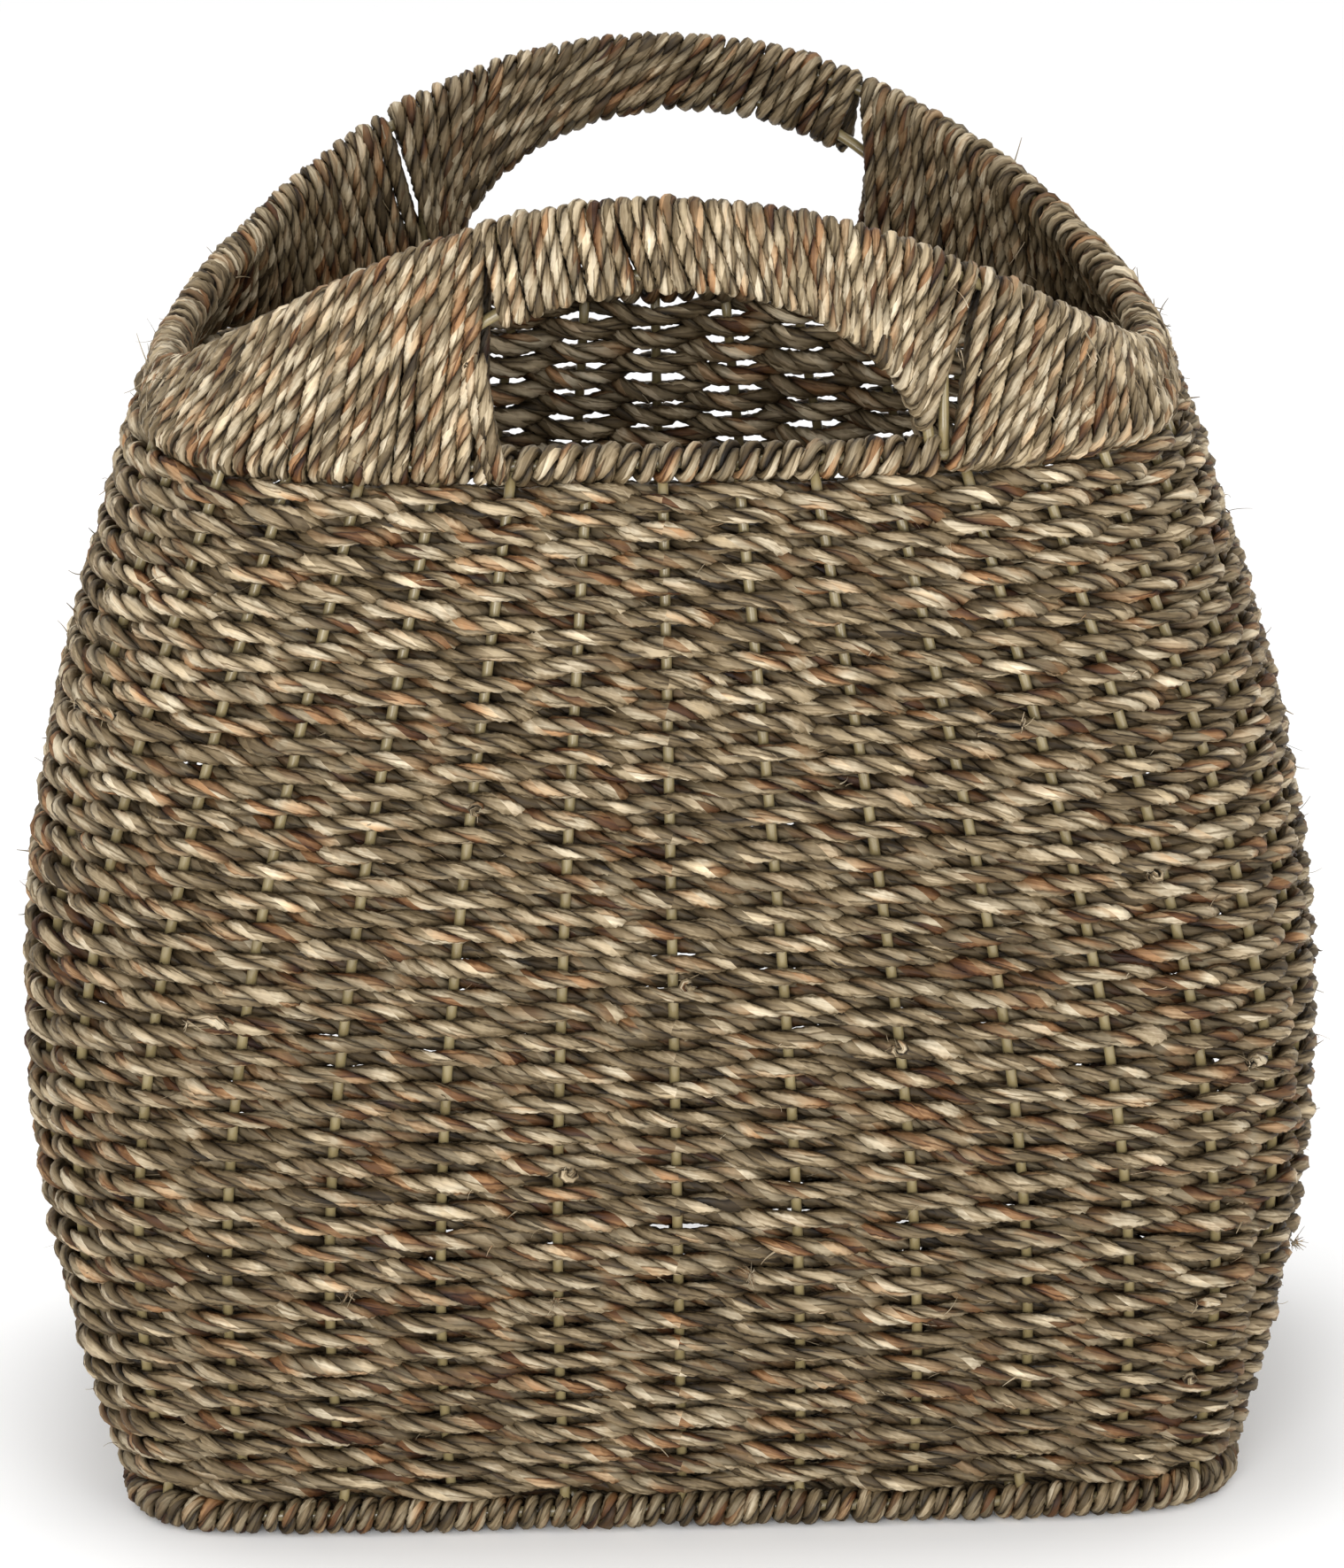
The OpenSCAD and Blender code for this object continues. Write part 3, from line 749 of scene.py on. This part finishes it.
def row_path(row, z):
    """A row that passes outside and inside the stakes by turns: its points, the wall's outward
    directions, how far out it lies and how thick it is."""
    count = STAKES * ROW_POINTS
    phi = np.arange(count) / count * STAKES
    marks = np.arange(STAKES + 1)
    lap = np.interp(phi, marks, stake_fraction(marks, z))
    side = np.cos(np.pi * (phi + row))
    zz = z + ROW_DRIFT * drift_at(row / (len(ROWS) - 1), lap) + ROW_LIFT * side
    zz = zz + ROW_WANDER * smooth_noise(rng, count, 46, True)
    zz = np.clip(zz, WALL_Z + ROW_EDGE - 0.6, WALL_TOP - ROW_EDGE + 0.6)
    p, n = wall_point(lap, zz)
    out = PASS_OUT * side + ROW_STRAY * smooth_noise(rng, count, 60, True)
    return p + n * out[:, None], n, out, 1.1 - 0.15 * np.maximum(side, 0) ** 2


THIRDS = ("lower_wall_weave", "middle_wall_weave", "upper_wall_weave")
PIECES_IN_THIRD = 4
FOOT_PAINTED_SHADE = 0.84     # painted shade: lightness of the lowest row, beside 1 for the highest, so the wall is painted darker towards the foot
row_lines = []
groups = np.array_split(np.arange(len(ROWS)), len(THIRDS) * PIECES_IN_THIRD)
for g, members in enumerate(groups):
    node = THIRDS[g // PIECES_IN_THIRD]
    piece = Piece(f"wall_rows_{g + 1}", WALL_GRASS, "woven_seagrass", node)
    for row in members:
        path, n, depth, slim = row_path(row, ROWS[row])
        # Painted shade: rows are painted darker towards the foot
        cord(piece, rng, path, n, loop=True, slim=slim, painted_shade=mix(FOOT_PAINTED_SHADE, 1, row / len(ROWS)),
             depth=depth, **ROW_LOOK)
        row_lines.append((path, n))
    piece.build()


# ---- Wound cord -----------------------------------------------------------------------------------
WRAP_LOOK = dict(twist=19.5, spread=0.94, ply=(1.55, 2.1))
INNER_PAINTED_SHADE = 0.26     # painted shade: how much darker the cord is painted on the inside of the basket
STRAND_PITCH = 4.5
TURN_POINTS = 60
TURN_WANDER = 0.15    # parts of a turn by which a turn strays along the run
TURN_STRAY = 0.35     # mm by which a turn strays in and out
RUN_STEP = 0.004      # part of a run over which its direction is taken


def wind(piece, low_of, high_of, turns, radius=3.6, painted_dim=1.0, **looks):
    """A cord wound round two wires. low_of and high_of give points at parts of the run, 0 to 1. dim
    is a factor on its lightness that paints shade on the whole cord.
    """
    tau = np.linspace(0, turns, int(turns * TURN_POINTS) + 1)
    part = tau / turns
    part = np.clip(part + TURN_WANDER / turns * smooth_noise(rng, len(tau), turns * 1.5), 0, 1)
    low, high = low_of(part), high_of(part)
    ahead = unit(high_of(np.clip(part + RUN_STEP, 0, 1)) - high_of(np.clip(part - RUN_STEP, 0, 1)))
    apart = high - low
    h = np.linalg.norm(apart, axis=1)
    v = np.where(h[:, None] > 1, unit(apart), np.array([0.0, 0, 1]))
    u = unit(np.cross(ahead, v))
    r = radius + TURN_STRAY * smooth_noise(rng, len(tau), turns * 1.1)
    # A turn is a quarter of the low wire, the outside, half of the high wire, the inside and the
    # last quarter of the low wire
    arc = np.pi * r / 2
    at = np.mod(tau, 1) * (4 * arc + 2 * h)
    stages = [at < arc, at < arc + h, at < 3 * arc + h, at < 3 * arc + 2 * h]
    angle = np.select(stages, [at / arc * 90 - 90, 0 * at, (at - arc - h) / arc * 90, 0 * at + 180],
                      (at - 3 * arc - 2 * h) / arc * 90 + 180)
    rise = np.select(stages, [0 * at, at - arc, h, 3 * arc + 2 * h - at], 0 * at)
    a = np.radians(angle)[:, None]
    out = u * np.cos(a) + v * np.sin(a)
    path = low + v * rise[:, None] + out * r[:, None]
    # Painted shade: turns that face the inside of the basket are painted darker
    inward = np.clip(-(unit(path[:, :2]) * out[:, :2]).sum(1), 0, 1)
    cord(piece, rng, path, out, painted_shade=painted_dim * (1 - INNER_PAINTED_SHADE * inward ** 0.7), **looks)


def run_length(line):
    return np.linalg.norm(np.diff(line(np.linspace(0, 1, 200)), axis=0), axis=1).sum()


def wound(name, node, low_of, high_of, place=None, pitch=STRAND_PITCH, **looks):
    """A wrap in a piece of its own, with its turns packed closer on the shorter of its two lines."""
    short, long = sorted((run_length(low_of), run_length(high_of)))
    piece = Piece(name, WRAP_GRASS, "wound_seagrass", node)
    spin = place or (lambda p: p)
    wind(piece, lambda q: spin(low_of(q)), lambda q: spin(high_of(q)),
         round((0.35 * short + 0.65 * long) / pitch), **{**WRAP_LOOK, **looks})
    piece.build()


def between(ring_from, ring_to, rim_from, rim_to, lean=0.0):
    """The two lines of a wrap between parts of the top ring and of the rim."""
    def low_of(t):
        return ring_point(mix(ring_from, ring_to, t) - lean / 2 * np.sin(np.pi * t))

    def high_of(t):
        return rim_point(mix(rim_from, rim_to, t) + lean / 2 * np.sin(np.pi * t))

    return low_of, high_of


end_run = between(END_FRAC, 0.5 - END_FRAC, END_FRAC, 0.5 - END_FRAC)


def grip_run(hole):
    """The two lines of a grip, along the arch wire and the rim."""
    start = -math.degrees(math.asin((hole.upright - BARE_ARCH) / ARCH_HALF))

    def low_of(t):
        return arch_point(hole, mix(start, GRIP_FOOT, t))

    def high_of(t):
        return rim_point(rim_fraction(hole.middle + mix(GRIP_RIM_START - hole.upright, GRIP_RIM_END, t)))

    return low_of, high_of


def sill_run(hole):
    """The line of a sill, along the top ring under a hole."""
    def line(t):
        ends = ring_fraction(hole.middle - hole.upright), ring_fraction(hole.middle + STRUT_X + 0.5)
        return ring_point(mix(*ends, t))

    return line, line


SILL_LOOK = dict(pitch=6.0, radius=3.4, twist=21.0, spread=1.35, ply=(1.75, 2.4))
# Painted shade: the base border at the foot is painted darker
BORDER_LOOK = dict(pitch=4.9, radius=3.4, twist=16.0, painted_dim=0.68)
GRIP_GAP = 1.5        # along the rim, between the grip and the shoulder beside it
SHOULDER_LEAN = 0.012

for side, upright, tapered, hole, place in SIDES:
    edge = hole.middle - hole.upright
    foot = hole.middle + STRUT_X + hole.foot
    grip_end = hole.middle + GRIP_RIM_END + GRIP_GAP
    upright_lines = between(-END_FRAC, ring_fraction(edge), -END_FRAC, rim_fraction(edge + hole.seam))
    tapered_lines = between(ring_fraction(foot), END_FRAC, rim_fraction(grip_end), END_FRAC, SHOULDER_LEAN)
    wound(f"{side}_{upright}_shoulder", f"{side}_{upright}_shoulder_wrap", *upright_lines, place)
    wound(f"{side}_{tapered}_shoulder", f"{side}_{tapered}_shoulder_wrap", *tapered_lines, place)
    wound(f"{side}_grip", f"{side}_grip_wrap", *grip_run(hole), place)
    wound(f"{side}_sill", f"{side}_sill_wrap", *sill_run(hole), place, **SILL_LOOK)
wound("right_end", "right_end_wrap", *end_run)
wound("left_end", "left_end_wrap", *end_run, turned)


def border_line(t):
    """The base ring, stopped just short of a whole lap."""
    return base_point(t * 0.9999)


wound("base_border", "base_border_wrap", border_line, border_line, **BORDER_LOOK)

# ---- Lashing, knots and stray fibres --------------------------------------------------------------
FIBRE_RINGS = 7
FIBRE_BEND = 0.55
FIBRE_TAPER = 0.7
FIBRE_SHAPE = (2.0, 0.7)    # wide and thin, like a torn leaf


def fibre(piece, start, ahead, curl, length, thick, tone):
    """A thin dry fibre that leaves start and bends over."""
    k = np.linspace(0, 1, FIBRE_RINGS)[:, None]
    path = start + length * (k * ahead + FIBRE_BEND * k ** 2 * curl)
    t = unit(along(path, False))
    u = unit(np.cross(t, unit(curl + 0.31 * ahead)))
    r = thick * (1 - FIBRE_TAPER * k)[:, :, None]
    rings = path[:, None] + r * across(u, np.cross(t, u), np.arange(4) * np.pi / 2, *FIBRE_SHAPE)
    v_mm = np.linspace(0, length, FIBRE_RINGS) + rng.uniform(0, 300)
    piece.strand(rings, False, v_mm, tone, rng.uniform(0.7, 1.25))


def direction():
    return unit(rng.normal(size=3))


def tuft(piece, at, out, count, reach, thick, tone):
    for _ in range(count):
        ahead = unit(out * rng.uniform(0.1, 0.9) + direction())
        start = at + direction() * reach * 0.2
        fibre(piece, start, ahead, direction(), reach * rng.uniform(0.5, 1.1), thick, tone)


def knot(piece, at, out, size):
    """A cord's end, curled once over itself."""
    side = unit(np.cross(out, [0.0, 0, 1]))
    rise = np.cross(side, out)
    g = np.linspace(0, 2 * np.pi * 0.8, 60)
    start = rng.uniform(0, 2 * np.pi)
    r = size * (1 - 0.5 * g / g[-1])
    flat_part = np.outer(r * np.cos(g + start), side) + np.outer(r * np.sin(g + start) * 0.7, rise)
    path = at + flat_part + np.outer(1.4 * np.sin(g * 0.8), out)
    cord(piece, rng, path, np.tile(out, (60, 1)), twist=11, spread=0.7, ply=(0.85, 1.15))
    tuft(piece, path[-1], out, 5, 3.5, 0.16, 0.45)


def wall_spot(fraction, z, lift):
    """A point lift mm outside the stakes, and the direction it faces."""
    p, n = wall_point(np.array([fraction]), np.array([float(z)]))
    return p[0] + n[0] * lift, n[0]


# Knots as (outline fraction, height), most on the front
KNOTS = ((-0.055, 243), (0.004, 188), (0.134, 214), (0.148, 50), (-0.03, 128), (0.061, 166),
         (0.31, 230), (0.42, 120), (0.55, 205), (0.68, 90), (0.83, 262), (0.47, 300))
# Cut ends of cord and tufts of torn leaf, placed the same way
ENDS = ((-0.165, 262), (0.155, 74), (0.09, 262), (-0.12, 175), (0.165, 150), (0.36, 70), (0.6, 280),
        (0.70, 140))
TUFTS = ((-0.092, 88), (0.02, 92), (0.19, 78), (-0.035, 84), (0.5, 160))

ends = Piece("cord_ends", WALL_GRASS, "woven_seagrass")
for fraction, z in KNOTS:
    at, n = wall_spot(fraction, z, 7.6)
    knot(ends, at, n, rng.uniform(1.8, 2.6))
for fraction, z in ENDS:
    at, n = wall_spot(fraction, z, 6.0)
    side = unit(np.cross(n, [0.0, 0, 1])) * rng.choice((-1, 1))
    k = np.linspace(0, 1, 30)[:, None]
    path = at + 13 * (k * side) + 4.5 * k ** 2 * n + np.array([0, 0, 2.0]) * k
    cord(ends, rng, path, np.tile(n, (30, 1)), spread=1.0, ply=(1.3, 1.7))
    tuft(ends, path[-1], unit(side + n), 6, 4.0, 0.16, 0.4)
for fraction, z in TUFTS:
    at, n = wall_spot(fraction, z, 6.5)
    tuft(ends, at, n, 26, 4.0, 0.12, 0.7)
ends.build()

WALL_FIBRES = 1100
BAND_FIBRES = 260
stray = Piece("stray_fibres", WALL_GRASS, "woven_seagrass")
for _ in range(WALL_FIBRES):
    path, n = row_lines[rng.integers(len(row_lines))]
    i = rng.integers(len(path) - 1)
    t = unit(path[i + 1] - path[i])
    inside = rng.random() < 0.25
    out = -n[i] if inside else n[i]
    ahead = unit(t * rng.choice((-1, 1)) + 0.5 * direction() + 0.25 * out)
    fibre(stray, path[i] + out * 2.6, ahead, unit(direction() + 0.2 * out), rng.uniform(2.5, 7),
          rng.uniform(0.09, 0.2), rng.uniform(0.1, 0.8))
for _ in range(BAND_FIBRES):
    f = rng.random()
    low, high = ring_point(np.array([f]))[0], rim_point(np.array([f]))[0]
    if abs(low[0]) < STRUT_X:
        continue
    out = unit(np.array([low[0], low[1], 0.0])) * rng.choice((-1, 1), p=(0.3, 0.7))
    ahead = unit(unit(high - low) * rng.choice((-1, 1)) + 0.5 * direction() + 0.3 * out)
    fibre(stray, mix(low, high, rng.random()) + out * 5.6, ahead, unit(direction() + 0.3 * out),
          rng.uniform(3, 8), rng.uniform(0.12, 0.24), rng.uniform(0.1, 0.8))
stray.build()

# The last turns of the straight shoulder, brought down over the corner of the hole
lashing = Piece("corner_lashings", WRAP_GRASS, "wound_seagrass")
for _, _, _, hole, place in SIDES:
    for shift, bulge in ((0.0, 0.0), (2.6, 1.2)):
        k = np.linspace(0, 1, 40)
        x = hole.middle - hole.upright - 1.5 + shift + 5.5 * k ** 1.6
        z = mix(RIM_TOP_Z - 40, RING_Z - 3.5, k)
        base = band_point(x, z)
        path = base + np.stack([0 * k, -4.6 - bulge - 0.8 * np.sin(np.pi * k), 0 * k], -1)
        out = np.tile([0.0, -1, 0], (40, 1))
        cord(lashing, rng, place(path), place(out), **WRAP_LOOK)
lashing.build()

# ---- Bottom ---------------------------------------------------------------------------------------
bottom = Piece("bottom_rows", WALL_GRASS, "woven_seagrass", "base_weave")
BOTTOM_PITCH = 4.9
BOTTOM_POINTS = 300
BOTTOM_PASS = 3.0     # from the cross wires' middle to the middle of a cord that passes them
BORDER_ROOM = 7.0     # kept clear for the border at the front and the back
BORDER_ROOM_END = 6.5
last_row = math.floor((BASE_D / 2 - BORDER_ROOM) / BOTTOM_PITCH)
for k in range(-last_row, last_row + 1):
    y = k * BOTTOM_PITCH
    reach = base_reach(y, BASE_W, BASE_D) - BORDER_ROOM_END
    x = np.linspace(-reach, reach, BOTTOM_POINTS)
    phase = x / (CROSS_X[1] - CROSS_X[0]) + k
    yy = y + 0.5 * smooth_noise(rng, BOTTOM_POINTS, 24)
    path = np.stack([x, yy, BASE_Z + BOTTOM_PASS * np.cos(np.pi * phase)], -1)
    down = np.tile([0.0, 0, -1], (BOTTOM_POINTS, 1))
    cord(bottom, rng, path, down, spread=0.95, ply=(1.05, 1.45), flat=0.95)
bottom.build()

# ---- Stage, light and camera ----------------------------------------------------------------------
floor_mesh = bpy.data.meshes.new("floor")
FLOOR = 6             # metres from the middle to each side
corners = [(-FLOOR, -FLOOR, 0), (FLOOR, -FLOOR, 0), (FLOOR, FLOOR, 0), (-FLOOR, FLOOR, 0)]
floor_mesh.from_pydata(corners, [], [(0, 1, 2, 3)])
floor = bpy.data.objects.new("floor", floor_mesh)
bpy.context.scene.collection.objects.link(floor)
f = Nodes("pale_floor")
grain = f.noise(f.new("ShaderNodeTexCoord").outputs["Object"], 3.0)
pale = f.ramp(grain, [(0.3, (0.91, 0.91, 0.91, 1)), (0.7, (0.93, 0.93, 0.93, 1))])
f.link(pale, f.bsdf.inputs["Base Color"])
f.bsdf.inputs["Roughness"].default_value = 0.8
floor_mesh.materials.append(f.mat)

world = bpy.data.worlds.new("studio")
bpy.context.scene.world = world
world.use_nodes = True
sky = world.node_tree.nodes["Background"]
sky.inputs["Color"].default_value = (1, 1, 1, 1)
sky.inputs["Strength"].default_value = 1.0


def softbox(name, place, aim, size, power):
    data = bpy.data.lights.new(name, "AREA")
    data.shape = "DISK"
    data.size = size
    data.energy = power
    lamp = bpy.data.objects.new(name, data)
    lamp.location = place
    lamp.rotation_mode = "QUATERNION"
    lamp.rotation_quaternion = (Vector(aim) - Vector(place)).to_track_quat("-Z", "Y")
    bpy.context.scene.collection.objects.link(lamp)


softbox("key", (-0.35, -1.5, 0.45), (0, 0, 0.3), 0.8, 13)
softbox("fill", (0.9, -1.4, 0.45), (0, 0, 0.3), 0.8, 7)
softbox("top", (-0.1, 0.1, 2.2), (0, 0, 0.2), 0.8, 12)

# The camera looks at the front, slightly down, from this place before it is turned
CAM_PLACE = (0.0017, -2.2564, 0.9905)
CAM_PITCH = math.radians(19.10)
CAM_ROLL = math.radians(-1.10)
CAM_TURN = math.radians(-0.41)
SENSOR_MM = 36
LENS_MM = 175.68
camera = bpy.data.objects.new("camera", bpy.data.cameras.new("camera"))
bpy.context.scene.collection.objects.link(camera)
bpy.context.scene.camera = camera
camera.data.sensor_width = SENSOR_MM
camera.data.lens = LENS_MM
camera.data.clip_start = 0.05
camera.data.clip_end = 50
right = Vector((1, 0, 0))
up = Vector((0, math.sin(CAM_PITCH), math.cos(CAM_PITCH)))
ahead = Vector((0, math.cos(CAM_PITCH), -math.sin(CAM_PITCH)))
axis_x = right * math.cos(CAM_ROLL) + up * math.sin(CAM_ROLL)
axis_y = up * math.cos(CAM_ROLL) - right * math.sin(CAM_ROLL)
pose = Matrix((axis_x, axis_y, -ahead)).transposed().to_4x4()
pose.translation = Vector(CAM_PLACE)
camera.matrix_world = Matrix.Rotation(CAM_TURN, 4, "Z") @ pose

bpy.context.scene.view_settings.view_transform = "Standard"
